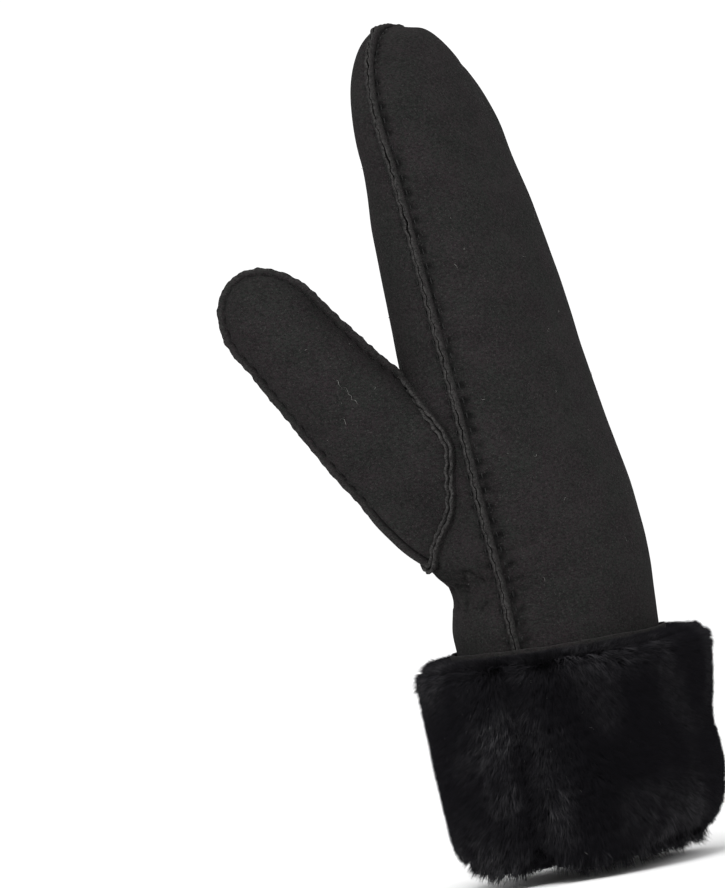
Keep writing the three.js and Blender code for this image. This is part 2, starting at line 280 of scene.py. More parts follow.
def thumb_place():
    """Where the thumb is built: X out of its front panel, Y to its upper edge, Z to its tip."""
    row = hand.row(THUMB_ROOT_HEIGHT)
    root = Vector(
        (
            row["lean"] - row["palm"] * math.sin(THUMB_ROOT_ANGLE),
            -row["thumb_edge"] * math.cos(THUMB_ROOT_ANGLE),
            THUMB_ROOT_HEIGHT,
        )
    )
    across = Vector((math.cos(THUMB_SPLAY), 0, math.sin(THUMB_SPLAY)))
    along = Vector((-math.sin(THUMB_SPLAY), 0, math.cos(THUMB_SPLAY)))
    axes = Matrix((Vector((0, -1, 0)), across, along)).transposed()
    turned = Matrix.Rotation(THUMB_TURN, 3, "Z") @ axes
    place = turned.to_4x4()
    place.translation = root - turned.col[2] * THUMB_BURIED
    return place


THUMB_PLACE = thumb_place()
NO_PLACE = Matrix.Identity(4)


def inside_hand(point):
    """How far a point is inside the hand's wall: positive inside, as a rough distance."""
    if point.z >= hand.shoulder:
        return -1.0
    row = hand.row(point.z)
    side = 1 if point.x > row["lean"] else -1
    half = row["thumb_edge" if point.y < 0 else "outer_edge"]
    across = -point.y / half
    if abs(across) >= 1:
        return half - abs(point.y)
    sine = math.sqrt(1 - across * across)
    full = sine * (1 - PINCH * bell(sine, PINCH_REACH))
    depth = row["back" if side > 0 else "palm"] - FOOT + palm_fit(point.z, side, math.acos(across))[0]
    return FOOT + depth * full - abs(point.x - row["lean"])


def hand_normal(point):
    """Outwards from the hand's wall near a point."""
    step = 0.4
    slope = Vector(
        inside_hand(point - Vector(axis) * step) - inside_hand(point + Vector(axis) * step)
        for axis in ((1, 0, 0), (0, 1, 0), (0, 0, 1))
    )
    return slope.normalized()


def joint_way(side, turn):
    """How far along the thumb, at one turn round it, its wall comes out of the hand's wall."""
    low, high = 0.0, THUMB_LENGTH * 0.75
    for _ in range(24):
        middle = (low + high) / 2
        if inside_hand(THUMB_PLACE @ thumb.point(thumb.row(middle), side, turn)) > 0:
            low = middle
        else:
            high = middle
    return (low + high) / 2


# Making pieces


def to_row(bm):
    """From millimetres in the hand's frame to metres in the CAD's."""
    bmesh.ops.scale(bm, vec=(0.001, 0.001, 0.001), verts=bm.verts)
    bmesh.ops.translate(bm, vec=HAND_AXIS, verts=bm.verts)


def piece_from(bm, name, materials, replaced=(), smooth=True):
    """Finishes a bmesh as a piece of the mitten that rides on its body."""
    to_row(bm)
    mesh = bpy.data.meshes.new(name)
    bm.to_mesh(mesh)
    bm.free()
    mesh.polygons.foreach_set("use_smooth", [smooth] * len(mesh.polygons))
    for material in materials:
        mesh.materials.append(material)
    piece = bpy.data.objects.new(name, mesh)
    bpy.context.scene.collection.objects.link(piece)
    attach(piece, "root")
    if replaced:
        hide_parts(*replaced)
    return piece


def mapped_grid(columns, rows, place_point, edge=None, material=None):
    """A grid of columns by rows of points, each put where place_point says, with its doubles welded.

    edge gives each point's value in the "edge" attribute, and material a face's slot from its column.
    """
    bm = bmesh.new()
    bmesh.ops.create_grid(bm, x_segments=columns - 1, y_segments=rows - 1, size=1)
    layer = bm.verts.layers.float.new("edge")
    if material:
        for face in bm.faces:
            middle = face.calc_center_median()
            face.material_index = material(int((middle.x + 1) / 2 * (columns - 1)))
    for vert in bm.verts:
        i = round((vert.co.x + 1) / 2 * (columns - 1))
        j = round((vert.co.y + 1) / 2 * (rows - 1))
        vert.co = place_point(i, j)
        if edge:
            vert[layer] = edge(i, j)
    bmesh.ops.remove_doubles(bm, verts=bm.verts, dist=0.002)
    return bm


def profile_ring(profile, count, place_point):
    """A closed profile carried round a loop of count steps; a profile's row ends with its edge value."""
    closed = [*profile, profile[0]]
    return mapped_grid(
        len(closed),
        count + 1,
        lambda i, j: place_point(closed[i], j),
        lambda i, j: closed[i][-1],
    )


# The sewn panels

FLANGE = [
    # lateral place from the raw edge's inner face, height as a share, edge mask: the raw edge's lighter cut
    # colour and a painted highlight along the ridge top and down its flanks
    (0.0, -0.9, 0.0),
    (0.0, 0.5, 0.1),
    (0.02, 0.88, 0.8),
    (0.1, 1.0, 1.0),
    (0.28, 1.0, 0.8),
    (0.55, 0.95, 0.5),
    (0.86, 0.76, 0.4),
    (1.02, 0.44, 0.3),
    (1.08, 0.16, 0.0),
]
LINING_COLUMNS = 16


def wall_turns(count):
    """Turns across a wall, closer together beside the seams."""
    turns = []
    for k in range(count):
        share = k / (count - 1)
        eased = share - 0.62 * math.sin(2 * math.pi * share) / (2 * math.pi)
        turns.append(math.pi * eased)
    return turns


class Seam:
    """The way along a form's seam, from its start up one edge, over the tip and down the other."""

    def __init__(self, form, start):
        self.form = form
        self.start = start
        self.steps = 400
        self.up = {}
        for turn in (0.0, math.pi):
            total = 0.0
            previous = None
            reached = []
            for k in range(self.steps + 1):
                way = mix(start, form.length, k / self.steps)
                point = form.point(form.row(way), 1, turn, grow=RIDGE_HEIGHT / 2)
                if previous is not None:
                    total += (point - previous).length
                previous = point
                reached.append(total)
            self.up[turn] = reached

    def along(self, way, outer):
        share = min(max((way - self.start) / (self.form.length - self.start), 0), 1) * self.steps
        k = min(int(share), self.steps - 1)
        reached = self.up[math.pi if outer else 0.0]
        here = mix(reached[k], reached[k + 1], share - k)
        if outer:
            return self.up[0.0][-1] + reached[-1] - here
        return here


def sewn(along, seed):
    """How the stitches pull the ridge at a way along its seam, and how uneven its raw edges are there."""
    phase = 2 * math.pi * (along / STITCH_PITCH)
    wander = noise.noise(Vector((along / 12, seed, 0)))
    fine = noise.noise(Vector((along / 2.7, seed, 9)))
    uneven = 0.45 + 1.1 * abs(noise.noise(Vector((along / 9, seed, 2))))
    between = 0.5 - 0.5 * math.cos(phase)
    return {
        "sway": uneven * 0.42 * math.sin(phase + 1.1) + 0.55 * wander + 0.34 * fine,
        "height": 1 + 0.1 * (between - 0.5) + 0.14 * fine + 0.1 * wander,
        "gape": -0.11 + 0.6 * max(wander + 0.12, 0) * (0.4 + 0.6 * between) + 0.2 * max(fine, 0),
        "ragged": noise.noise(Vector((along / 1.4, seed, 21))),
        "grip": min(0.5 + 1.5 * abs(noise.noise(Vector((along / 6, seed, 33)))), 1.1),
        "pull": 1 - between,
    }


# Lines of gathers at the palm's wrist: height, how far its zigzag swings, and depth
GATHERS = ((106, 7.5, 1.9), (98, -5, 1.2))
# Folds by the seam at the back's wrist: height, slant and depth
FOLDS = ((99, 0.22, 1.1), (105, -0.16, 1.0), (112, 0.3, 0.7))
CREASE_HEIGHT = 283


def hand_relief(point, side, turn):
    """Small rises and hollows of the hand's panels."""
    height = point.z
    relief = 0.4 * rough(point, 40, 1) + 0.16 * rough(point, 13, 2)
    if side < 0:
        # Elastic gathers the palm at the wrist into a zigzag of small tucks between two lines
        around = turn * 42 + 2.4 * rough(point, 13, 3)
        zigzag = abs((around / 7.4) % 2 - 1) - 0.5
        uneven = 0.7 + 0.6 * rough((around, 0, 0), 12, 4)
        for low, swing, depth in GATHERS:
            relief -= depth * uneven * bell(height - low - swing * zigzag, 0.7)
        swell = smoothstep(height, 90, 99) * (1 - smoothstep(height, 112, 120))
        streaks = 0.4 * math.sin(2 * math.pi * around / 3.7) + 0.9 * rough((around, height * 0.35, 0), 2.4, 4)
        relief += swell * streaks
    else:
        relief += smoothstep(height, 84, 104) * (1 - smoothstep(height, 262, 290)) * math.sin(turn)
        crease = height - CREASE_HEIGHT - 1.5 * rough(point, 20, 5)
        relief -= 0.22 * bell(crease, 1.4) * smoothstep(math.sin(turn), 0.15, 0.4)
        for low, slant, depth in FOLDS:
            line = height - low - slant * (turn * 40) - 1.2 * rough(point, 9, 6)
            relief -= depth * bell(line, 1.4) * bell(turn - 0.1, 0.3)
    return relief


def thumb_relief(point, side, turn):
    return 0.35 * rough(point, 26, 7) + 0.15 * rough(point, 9, 8)


def wall_point(form, side, turn, way):
    """A point of a panel's outer wall, drawn in at the stitches beside its seams, and the painted shade
    there: a dark line beside the seam, darker in the stitch dimples and in the hollows of its relief.
    """
    row = form.row(way)
    plain = form.point(row, side, turn)
    outer = turn > math.pi / 2
    stitch = form.stitch(way, outer)
    beside = math.pi - turn if outer else turn
    rise = form.relief(plain, side, turn) * smoothstep(beside, 0.0, 0.3)
    rise *= smoothstep(row["narrow"], 0.0, 0.25)
    spread = 0.1 if side > 0 else 0.055
    blotch = max(0.5 + 1.7 * rough(plain, 3.0, 31), 0.0)
    held = min(blotch, 1.2) if form is hand else 1.1
    dimple = bell(beside - 0.055, spread) * stitch["pull"] ** 3 * stitch["grip"] * held
    pucker = -1.0 * dimple
    if form is hand:
        pucker -= 0.3 * bell(beside - 0.08, 0.12)
    else:
        # Between its stitches the thumb's skin swells against the ridge
        pucker -= 0.5 * stitch["pull"] * stitch["grip"] * bell(beside - 0.08, 0.12)
        pucker += 0.4 * (1 - stitch["pull"]) * bell(beside - 0.03, 0.08)
    pucker += 0.22 * bell(beside, 0.42) * (0.5 - stitch["pull"]) * smoothstep(beside, 0.03, 0.15)
    point = plain + form.normal(way, side, turn) * (rise + pucker)
    # Painted shade: a dark line along the foot of the ridge, darker in the stitch dimples and in the relief's
    # hollows
    line, reach = 0.0, 0.09
    if form is hand:
        line, reach = (0.85, 0.13) if side > 0 else (0.4, 0.07)
    dark = line * bell(beside, reach) * min(0.25 + blotch, 1.1)
    dark += (1.7 if form is hand else 2.6) * dimple
    dark += 0.7 * smoothstep(-rise, 0.35, 1.1)
    return point, min(dark, 1.0)


def sewn_panel(form, side, wall_count):
    """One panel of a form as a closed shell: suede out, its raw edges turned out at the seam, wool in."""
    turns = wall_turns(wall_count)
    lining = [math.pi * (1 - k / (LINING_COLUMNS - 1)) for k in range(LINING_COLUMNS)]
    kinds = [("flange", flange, 0.0) for flange in FLANGE]
    kinds += [("wall", None, turn) for turn in turns]
    kinds += [("flange", flange, math.pi) for flange in reversed(FLANGE)]
    kinds += [("lining", None, turn) for turn in lining]
    kinds.append(kinds[0])
    longest = form.length - min(form.start_way(side, turn) for turn in turns)
    rows = int(longest / ROW_PITCH) + 2
    starts = [form.start_way(side, turn) for _, _, turn in kinds]
    first_lining = len(kinds) - LINING_COLUMNS - 2
    # The painted shade of each wall point, as wall_point gives it
    hollows = {}

    def place_point(i, j):
        kind, flange, turn = kinds[i]
        way = mix(starts[i], form.length, j / (rows - 1))
        row = form.row(way)
        if kind == "lining":
            return form.place @ form.point(row, side, turn, -PELT_THICKNESS, SEAM_HALF_GAP)
        if kind == "flange":
            stitch = form.stitch(way, turn > math.pi / 2)
            lateral, height, _ = flange
            proud = 1.0
            if form is hand:
                proud = mix(0.3, 1.0, smoothstep(row["height"], CUFF_HEIGHT, CUFF_HEIGHT + 9))
                proud *= mix(1.0, 0.45, smoothstep(row["rise"], 0.955, 1.0))
            rise = RIDGE_HEIGHT * height * (stitch["height"] + 0.1 * stitch["ragged"]) * proud
            off = max(SEAM_HALF_GAP + stitch["gape"] * max(height, 0) + lateral * HIDE, 0.03)
            if height < 0:
                # The two panels meet at the foot of the seam, so that no light comes through it
                off = -SEAM_OVERLAP
            point = form.point(row, side, turn, rise, off)
            fade = max(height, 0.0) * (1 - 0.6 * lateral) * proud
            point.x += (stitch["sway"] + 0.34 * stitch["ragged"] * (1 - lateral)) * fade
            return form.place @ point
        point, hollows[i, j] = wall_point(form, side, turn, way)
        return form.place @ point

    def edge(i, j):
        kind, flange, _ = kinds[i]
        if kind == "flange":
            return flange[2]
        if kind == "lining":
            return 0.0
        # Negative edge values carry the painted shade beside the seams and in the hollows
        return -hollows[i, j]

    bm = mapped_grid(len(kinds), rows, place_point, edge, lambda i: 1 if i >= first_lining else 0)
    rim = [e for e in bm.edges if e.is_boundary]
    bmesh.ops.holes_fill(bm, edges=rim, sides=0)
    bmesh.ops.recalc_face_normals(bm, faces=bm.faces)
    return bm


def hand_start(side, turn):
    return HAND_FOOT


def thumb_start(side, turn):
    return joint_way(side, turn) + 0.25


hand.sew(NO_PLACE, hand_relief, HAND_SEED, HAND_FOOT, hand_start)
thumb.sew(THUMB_PLACE, thumb_relief, THUMB_SEED, THUMB_BURIED, thumb_start)


# The stitches


def thread_path(bm, path, radius, sides=5):
    """A thin closed thread along a path of points."""
    rings = len(path)
    made = bmesh.ops.create_grid(bm, x_segments=sides, y_segments=rings - 1, size=1)["verts"]
    for vert in made:
        i = round((vert.co.x + 1) / 2 * sides) % sides
        j = round((vert.co.y + 1) / 2 * (rings - 1))
        along = (path[min(j + 1, rings - 1)] - path[max(j - 1, 0)]).normalized()
        across = along.orthogonal().normalized()
        turned = Matrix.Rotation(2 * math.pi * i / sides, 3, along) @ across
        thin = 0.45 if j in (0, rings - 1) else 1.0
        vert.co = path[j] + turned * radius * thin
    bmesh.ops.remove_doubles(bm, verts=made, dist=0.001)
    loose = [edge for vert in made if vert.is_valid for edge in vert.link_edges if edge.is_boundary]
    bmesh.ops.holes_fill(bm, edges=list(set(loose)), sides=0)


def seam_stitches(bm, form, low, high):
    """The thread that shows at each stitch, lying in its dimple on both sides of the ridge."""
    for outer in (False, True):
        turn = math.pi - 0.05 if outer else 0.05
        way = low
        while way < high:
            here, ahead, behind = (form.stitch(way + step, outer)["pull"] for step in (0, 0.2, -0.2))
            if here >= max(ahead, behind):
                for side in (1, -1):
                    path = []
                    for step, lift in STITCH_ARC:
                        point, _ = wall_point(form, side, turn, way + step)
                        path.append(form.place @ (point + form.normal(way, side, turn) * lift))
                    thread_path(bm, path, THREAD_RADIUS)
                way += STITCH_PITCH * 0.5
            way += 0.2


# The raised joint round the thumb's root


def joint_loop(count):
    """Evenly spaced points round the joint, each with the way out of the thumb and out of the palm."""
    fine = []
    for side in (1, -1):
        for k in range(120):
            turn = math.pi * k / 120
            turn = turn if side > 0 else math.pi - turn
            fine.append(THUMB_PLACE @ thumb.point(thumb.row(joint_way(side, turn)), side, turn))
    # Smooth the small step where the two panels of the thumb meet
    for _ in range(6):
        fine = [(fine[k - 1] + fine[k] * 2 + fine[(k + 1) % len(fine)]) / 4 for k in range(len(fine))]
    lengths = [0.0]
    for k, point in enumerate(fine):
        lengths.append(lengths[-1] + (fine[(k + 1) % len(fine)] - point).length)
    total = lengths[-1]
    points = []
    k = 0
    for n in range(count):
        reach = total * n / count
        while lengths[k + 1] < reach:
            k += 1
        share = (reach - lengths[k]) / (lengths[k + 1] - lengths[k])
        points.append(fine[k].lerp(fine[(k + 1) % len(fine)], share))
    middle = sum(points, Vector()) / count
    loop = []
    for n, point in enumerate(points):
        tangent = (points[(n + 1) % count] - points[n - 1]).normalized()
        palm_out = hand_normal(point)
        away = palm_out.cross(tangent).normalized()
        if away.dot(point - middle) < 0:
            away.negate()
        loop.append((point, palm_out, away, total * n / count))
    return loop, total


# lateral place, height as a share and edge mask, as in FLANGE: the mask gives the raw edge its lighter cut
# colour and a painted highlight along the ridge top
JOINT_PROFILE = [
    (0.0, -0.8, 0.0),
    (0.0, 0.35, 0.3),
    (0.04, 0.8, 0.9),
    (0.3, 1.0, 1.0),
    (0.7, 1.0, 1.0),
    (0.98, 0.78, 0.9),
    (1.04, 0.45, 0.3),
    (1.25, 0.05, 0.0),
    (1.5, -0.8, 0.0),
]


def joint_edge(direction):
    """One of the two raw edges that stand up round the thumb: direction is 1 on the palm, -1 on the thumb."""
    count = 260
    loop, total = joint_loop(count)
    pitches = round(total / STITCH_PITCH)

    def place_point(row, j):
        lateral, height, _ = row
        point, palm_out, away, along = loop[j % count]
        stitch = sewn(along * pitches * STITCH_PITCH / total, JOINT_SEED)
        lean = (palm_out + away * (0.35 if direction > 0 else 0.15)).normalized()
        side_way = away * direction
        off = max(0.12 + max(height, 0) * stitch["gape"] + lateral * HIDE, 0.03)
        rise = RIDGE_HEIGHT * height * stitch["height"]
        fade = max(height, 0.0)
        return point + away * 0.9 + lean * rise + side_way * off + away * stitch["sway"] * fade

    return profile_ring(JOINT_PROFILE, count, place_point)


# The cuff


def cuff_outline(side, turn, z, inset_across, inset_deep=None):
    """A point of the cuff's outline at height z, inset from its widest."""
    if inset_deep is None:
        inset_deep = inset_across
    lean = math.tan(CUFF_TAPER) * (CUFF_HEIGHT - z)
    power = 2 / CUFF_SQUARE
    cosine = math.cos(turn)
    across = max(math.sin(turn), 0.0) ** power
    along = math.copysign(abs(cosine) ** power, cosine)
    x = side * (CUFF_DEPTH / 2 - inset_deep - lean) * across
    groove = PARTING_DEPTH * bell(x, PARTING_WIDTH) if along > 0 else 0.0
    return Vector((x, -(CUFF_WIDTH / 2 - inset_across - lean) * along + groove, z))


def beside_hand(side, turn, grow, z):
    return hand.point(hand.row(z), side, turn, grow, FOOT)


def around(count, k):
    """The side and turn of one of count columns round the cuff, from the thumb edge round by the back."""
    share = (k % count) / count * 2
    if share < 1:
        return 1, math.pi * share
    return -1, math.pi * (2 - share)


def cuff_band():
    """The turned-back skin with its cut edge at the top, folded under the hand's lower edge."""
    inside = 0.7
    low = FLOOR_PILE + 0.3
    profile = [
        (inside + CUFF_HIDE, low, 0.0),
        (inside + CUFF_HIDE, 40.0, 0.0),
        (inside + CUFF_HIDE, CUFF_HEIGHT - 6.0, 0.0),
        (inside + CUFF_HIDE - 0.1, CUFF_HEIGHT - 0.3, 0.2),
        (inside + CUFF_HIDE - 0.35, CUFF_HEIGHT, 0.45),
        (inside + 0.35, CUFF_HEIGHT, 0.45),
        (inside + 0.1, CUFF_HEIGHT - 0.3, 0.2),
        (inside, CUFF_HEIGHT - 6.0, 0.0),
        (inside, 40.0, 0.0),
        (inside, low + CUFF_HIDE, 0.0),
        (-PELT_THICKNESS, low + CUFF_HIDE, 0.0),
        (-PELT_THICKNESS, low, 0.0),
    ]
    count = 240

    def place_point(row, j):
        grow, z, _ = row
        side, turn = around(count, j)
        point = beside_hand(side, turn, grow, z)
        lift = smoothstep(z, 60, CUFF_HEIGHT)
        point.z += lift * (0.55 * rough(point, 22, 11) + 0.25 * rough(point, 6, 12))
        return point

    bm = profile_ring(profile, count, place_point)
    bmesh.ops.recalc_face_normals(bm, faces=bm.faces)
    return bm


PILE = 8.4  # length of the hairs that stand on the backing
PILE_BED = 4.2  # how far the backing lies inside the pile's outer form
TUFT_SPACING = 1.42
POINTED_TUFTS = 420
# How much closer the tufts stand on the top corner, and below it
CORNER_CROWDING, TOP_CROWDING = 2.8, 1.3
# How far the hairs lie down, where the pile is smooth and where it is ruffled
SMOOTH_LIE, RUFFLED_LIE = 0.36, 0.75
FLOOR_GAP = 0.25
PILE_SECTORS = 5
PILE_SEED = 20


def parting_notch(x, y, width):
    """Near 1 in the parting of the pile at the thumb edge, and 0 elsewhere."""
    return bell(x - 1, width) if y < 0 else 0.0


def parting_pull(point):
    """Away from the parting, on each side of it, and longest in its middle."""
    return Vector((math.copysign(1, point.x - 1), 0, 0)) * parting_notch(point.x, point.y, 9)


def foot_height(point):
    """How high the pile's lower edge lies above the floor: lifted at its corners and where it parts."""
    corners = 6.5 * smoothstep(-point.x, 14, 40) + 6.5 * smoothstep(point.x, 24, 44)
    return 1.0 + corners + 8.0 * parting_notch(point.x, point.y, 4.5)


def pile_profile():
    """The backing's profile, from the top round to the mouth: kind of outline, inset or growth, height."""
    top = CUFF_HEIGHT - 5.0
    profile = [("hand", 2.4, FLOOR_PILE), ("hand", 2.4, 40), ("hand", 2.4, top - 1.5), ("hand", 2.6, top)]
    for k in range(5):
        angle = math.pi / 2 * k / 4
        profile.append(("cuff", PILE_BED + 3.0 * (1 - math.sin(angle)), top - 3.0 * (1 - math.cos(angle))))
    for k in range(1, 13):
        profile.append(("cuff", PILE_BED, mix(top - 3, 24, k / 12)))
    for k in range(1, 9):
        angle = math.pi / 2 * k / 8
        profile.append(("foot", 1 - math.cos(angle), 24 - 17.0 * math.sin(angle)))
    profile += [("hand", -2.5, 6.5), ("hand", -4.6, 7.0), ("hand", -5.0, FLOOR_PILE + 2)]
    return profile


def pile_backing(count=200):
    """The dense lower part of the pile, as one ring round the band, under the fold and into the mouth."""
    profile = pile_profile()
    columns = len(profile) + 1

    def place_point(i, j):
        kind, inset, z = profile[i % (columns - 1)]
        side, turn = around(count, j)
        if kind == "hand":
            return beside_hand(side, turn, inset, z)
        if kind == "foot":
            deep = 7.5 if side > 0 else 5.5
            point = cuff_outline(side, turn, z, PILE_BED + 7.5 * inset, PILE_BED + deep * inset)
            point.z += inset * (foot_height(point) - 1 + 3.0 * parting_notch(point.x, point.y, 5))
        else:
            point = cuff_outline(side, turn, z, inset)
        out = Vector((point.x, point.y, 0)).normalized()
        ruffle = 0.45 * rough(point, 17, 13) + 0.3 * rough((point.x, point.y, point.z * 0.6), 6, 14)
        loose = (3.4 * bell(z - 27, 17) + 2.2 * smoothstep(z, 45, 70)) * smoothstep(point.x, 5, 38)
        return point + out * (ruffle + loose)

    bm = mapped_grid(columns, count + 1, place_point)
    bmesh.ops.recalc_face_normals(bm, faces=bm.faces)
    return bm


# The pile's hairs stand in tufts

HAIR_WIDTH = 0.42
# Hairs in a tuft and their segments, how far they draw together, how uneven they are, how wide the tuft
# stands and how far they bend
TUFTS = {
    "smooth": (32, 1, 0.05, 0.05, 0.85, 0.12),
    "ruffled": (16, 2, 0.5, 0.2, 0.95, 0.4),
    "pointed": (30, 2, 0.9, 0.2, 1.35, 0.25),
}
TUFT_COPIES = 5

RUFFLED = [
    # middle of a ruffled patch, its reach in X, Y and Z, and how strong it is
    ((-7, -60, 42), (6.5, 14, 24), 0.8),
    ((8, -60, 34), (6.5, 14, 24), 0.8),
    ((-20, -50, 10), (18, 26, 14), 1.05),
    ((14, -56, 5), (26, 26, 5), 0.5),
    ((46, -20, 15), (17, 26, 11), 1.15),
    ((4, -60, 78), (16, 16, 6), 0.5),
    ((30, -45, 77), (30, 20, 6), 0.6),
    ((-34, -42, 77), (22, 26, 9), 1.0),
    ((-40, 18, 26), (12, 22, 15), 0.6),
    ((10, 58, 30), (12, 14, 28), 0.6),
    ((38, 30, 12), (14, 26, 9), 0.6),
]


def hair_tuft(rng, hairs, segments, gather, uneven, stand, bend):
    """One tuft of tapered hairs that stand on Z and fall towards X: U is a hair's tone, V runs along it."""
    bm = bmesh.new()
    uv = bm.loops.layers.uv.new("strand")
    clump = Vector((rng.uniform(-0.4, 0.4), rng.uniform(-0.4, 0.4), 0))
    for _ in range(hairs):
        made = bmesh.ops.create_grid(bm, x_segments=1, y_segments=segments, size=0.5)["verts"]
        length = PILE * (1 - uneven * rng.uniform(-0.4, 1.6))
        width = HAIR_WIDTH * rng.uniform(0.75, 1.2)
        foot = Vector((rng.gauss(0, stand), rng.gauss(0, stand), -0.8))
        fall = bend * rng.uniform(0.5, 1.5)
        stray = Vector((rng.gauss(0, 0.4 * bend), rng.gauss(0, 0.5 * bend), 0))
        face_turn = Matrix.Rotation(rng.uniform(0, math.pi), 3, "Z")
        drawn = (clump - foot) * gather
        drawn.z = 0
        tone = rng.random()
        for vert in made:
            share = vert.co.y + 0.5
            half = vert.co.x * width * (1 - share * share)
            lean = Vector((fall * share * share, 0, 0)) + stray * share
            vert.co = (
                foot
                + face_turn @ Vector((half, 0, 0))
                + Vector((lean.x, lean.y, share)) * length
                + drawn * share
            )
        for face in {f for v in made for f in v.link_faces}:
            for loop in face.loops:
                loop[uv].uv = (tone, min(max((loop.vert.co.z + 0.8) / length, 0), 1))
    bmesh.ops.remove_doubles(bm, verts=bm.verts, dist=0.0005)
    mesh = bpy.data.meshes.new("tuft")
    bm.to_mesh(mesh)
    bm.free()
    return mesh


def tuft_frame(out, fall):
    """Axes for a tuft that stands along out and falls towards fall."""
    side_way = out.cross(fall)
    if side_way.length < 1e-4:
        side_way = out.orthogonal()
    side_way.normalize()
    forward = side_way.cross(out).normalized()
    return Matrix((forward, side_way, out)).transposed()


def backing_places(rng, backing, spacing):
    """Places spread evenly over the backing, closer on its top corner: point, outward direction."""
    places = []
    for face in backing.faces:
        expected = face.calc_area() / (spacing * spacing)
        if 0.05 < face.normal.z < 0.95:
            expected *= CORNER_CROWDING
        elif face.calc_center_median().z > CUFF_HEIGHT - 26:
            expected *= TOP_CROWDING
        number = int(expected) + (1 if rng.random() < expected - int(expected) else 0)
        corners = [v.co for v in face.verts]
        for _ in range(number):
            a, b = rng.random(), rng.random()
            if len(corners) == 4:
                point = corners[0].lerp(corners[1], a).lerp(corners[3].lerp(corners[2], a), b)
            else:
                if a + b > 1:
                    a, b = 1 - a, 1 - b
                point = corners[0] + (corners[1] - corners[0]) * a + (corners[2] - corners[0]) * b
            places.append((point, face.normal.copy()))
    return places


def ruffle_at(point):
    """0 where the pile lies smooth, to 1 where it is ruffled and lighter."""
    most = 0.0
    for middle, reach, strength in RUFFLED:
        far = sum(((point[k] - middle[k]) / reach[k]) ** 2 for k in range(3))
        most = max(most, strength * math.exp(-far))
    broken = 0.75 + 0.9 * rough((point.x, point.y, point.z * 0.45), 6, 15)
    faint = 0.3 * smoothstep(rough((point.x, point.y, point.z * 0.6), 15, 19), 0.1, 0.55)
    return min(max(most * broken, 0.0) + faint, 1.0)


class Pile:
    """Tufts in a few pieces round the cuff, with how ruffled each is and which way its ground faces."""

    def __init__(self, rng, sectors):
        self.rng = rng
        self.kinds = {}
        for name, form in TUFTS.items():
            self.kinds[name] = [hair_tuft(rng, *form) for _ in range(TUFT_COPIES)]
        self.groups = [bmesh.new() for _ in range(sectors)]
        self.shades = [[] for _ in range(sectors)]
        self.grounds = [[] for _ in range(sectors)]

    def add(self, kind, point, normal, out, fall, size, ruffled):
        twist = Matrix.Rotation(self.rng.uniform(-0.6, 0.6), 3, "Z")
        axes = tuft_frame(out, fall) @ twist @ Matrix.Diagonal((1.0, 1.0, size))
        place = Matrix.Translation(point) @ axes.to_4x4()
        sector = int((math.atan2(point.y, point.x) / (2 * math.pi) + 0.5) * len(self.groups))
        sector = min(sector, len(self.groups) - 1)
        tuft = self.rng.choice(self.kinds[kind])
        tuft.transform(place)
        self.groups[sector].from_mesh(tuft)
        tuft.transform(place.inverted())
        self.shades[sector].extend([ruffled] * len(tuft.vertices))
        self.grounds[sector].extend(tuple(normal) * len(tuft.vertices))

    def finish(self):
        for tufts in self.kinds.values():
            for tuft in tufts:
                bpy.data.meshes.remove(tuft)
        for group in self.groups:
            for vert in group.verts:
                vert.co.z = max(vert.co.z, FLOOR_GAP)


DOWN = Vector((0, 0, -1))


def standing_tufts(pile, rng, backing):
    """Tufts over the whole backing."""
    for point, normal in backing_places(rng, backing, TUFT_SPACING):
        away = Vector((point.x, point.y, 0)).normalized()
        if normal.dot(away) < -0.3 and normal.z > -0.5:
            continue
        ruffled = ruffle_at(point)
        on_top = smoothstep(normal.z, 0.6, 1.0)
        at_foot = smoothstep(-normal.z, 0.15, 0.9)
        fall = DOWN - normal * DOWN.dot(normal) + away * 0.02
        swirl = Vector((rough(point, 21, 16), rough(point, 21, 17), 0.6 * rough(point, 21, 18)))
        near_top = smoothstep(point.z, CUFF_HEIGHT - 30, CUFF_HEIGHT - 6)
        parted = parting_pull(point) * (1 - near_top)
        fall = fall.normalized() + swirl * (0.05 + 1.0 * ruffled) * (1 - 0.6 * near_top) + parted * 0.5
        fall.normalize()
        lie = (mix(SMOOTH_LIE, RUFFLED_LIE, ruffled) + rng.uniform(-0.04, 0.04)) * (1 - 0.2 * near_top)
        out = normal + fall * lie
        length = mix(1.0, 1.08, ruffled) * rng.uniform(0.97, 1.03)
        if on_top > 0:
            outer = smoothstep(outside_hand(point), 4, 11)
            out = out.lerp(Vector((0, 0, 1)) + away * mix(-0.05, 0.9, outer), on_top)
            length = mix(length, 0.62, on_top)
        if at_foot > 0:
            out = out.lerp(DOWN + away * 0.35 + parted * 0.5 + swirl * 0.4, at_foot)
        out.normalize()
        if out.z < -0.2:
            lowest = foot_height(point) + 4.6 + 3.0 * rough((point.x, point.y, 0), 3.8, 23)
            length = min(length, (point.z - lowest) / (-out.z * PILE) * rng.uniform(0.85, 1.0))
        if out.z > 0.2:
            highest = CUFF_HEIGHT - 0.2 + 0.6 * rough(point, 7, 24)
            highest += 2.3 * smoothstep(outside_hand(point), 3, 9) * smoothstep(-point.x, 4, 24)
            length = min(length, max(highest - point.z, 1.5) / (out.z * PILE) * rng.uniform(0.92, 1.0))
        corner = smoothstep(normal.z, 0.02, 0.2) * (1 - on_top)
        kind = "ruffled" if rng.random() < ruffled + 0.5 * at_foot + 0.25 * corner else "smooth"
        ground = normal.lerp(away, 0.85 * at_foot)
        pile.add(kind, point, ground, out, fall, max(length, 0.2), ruffled)


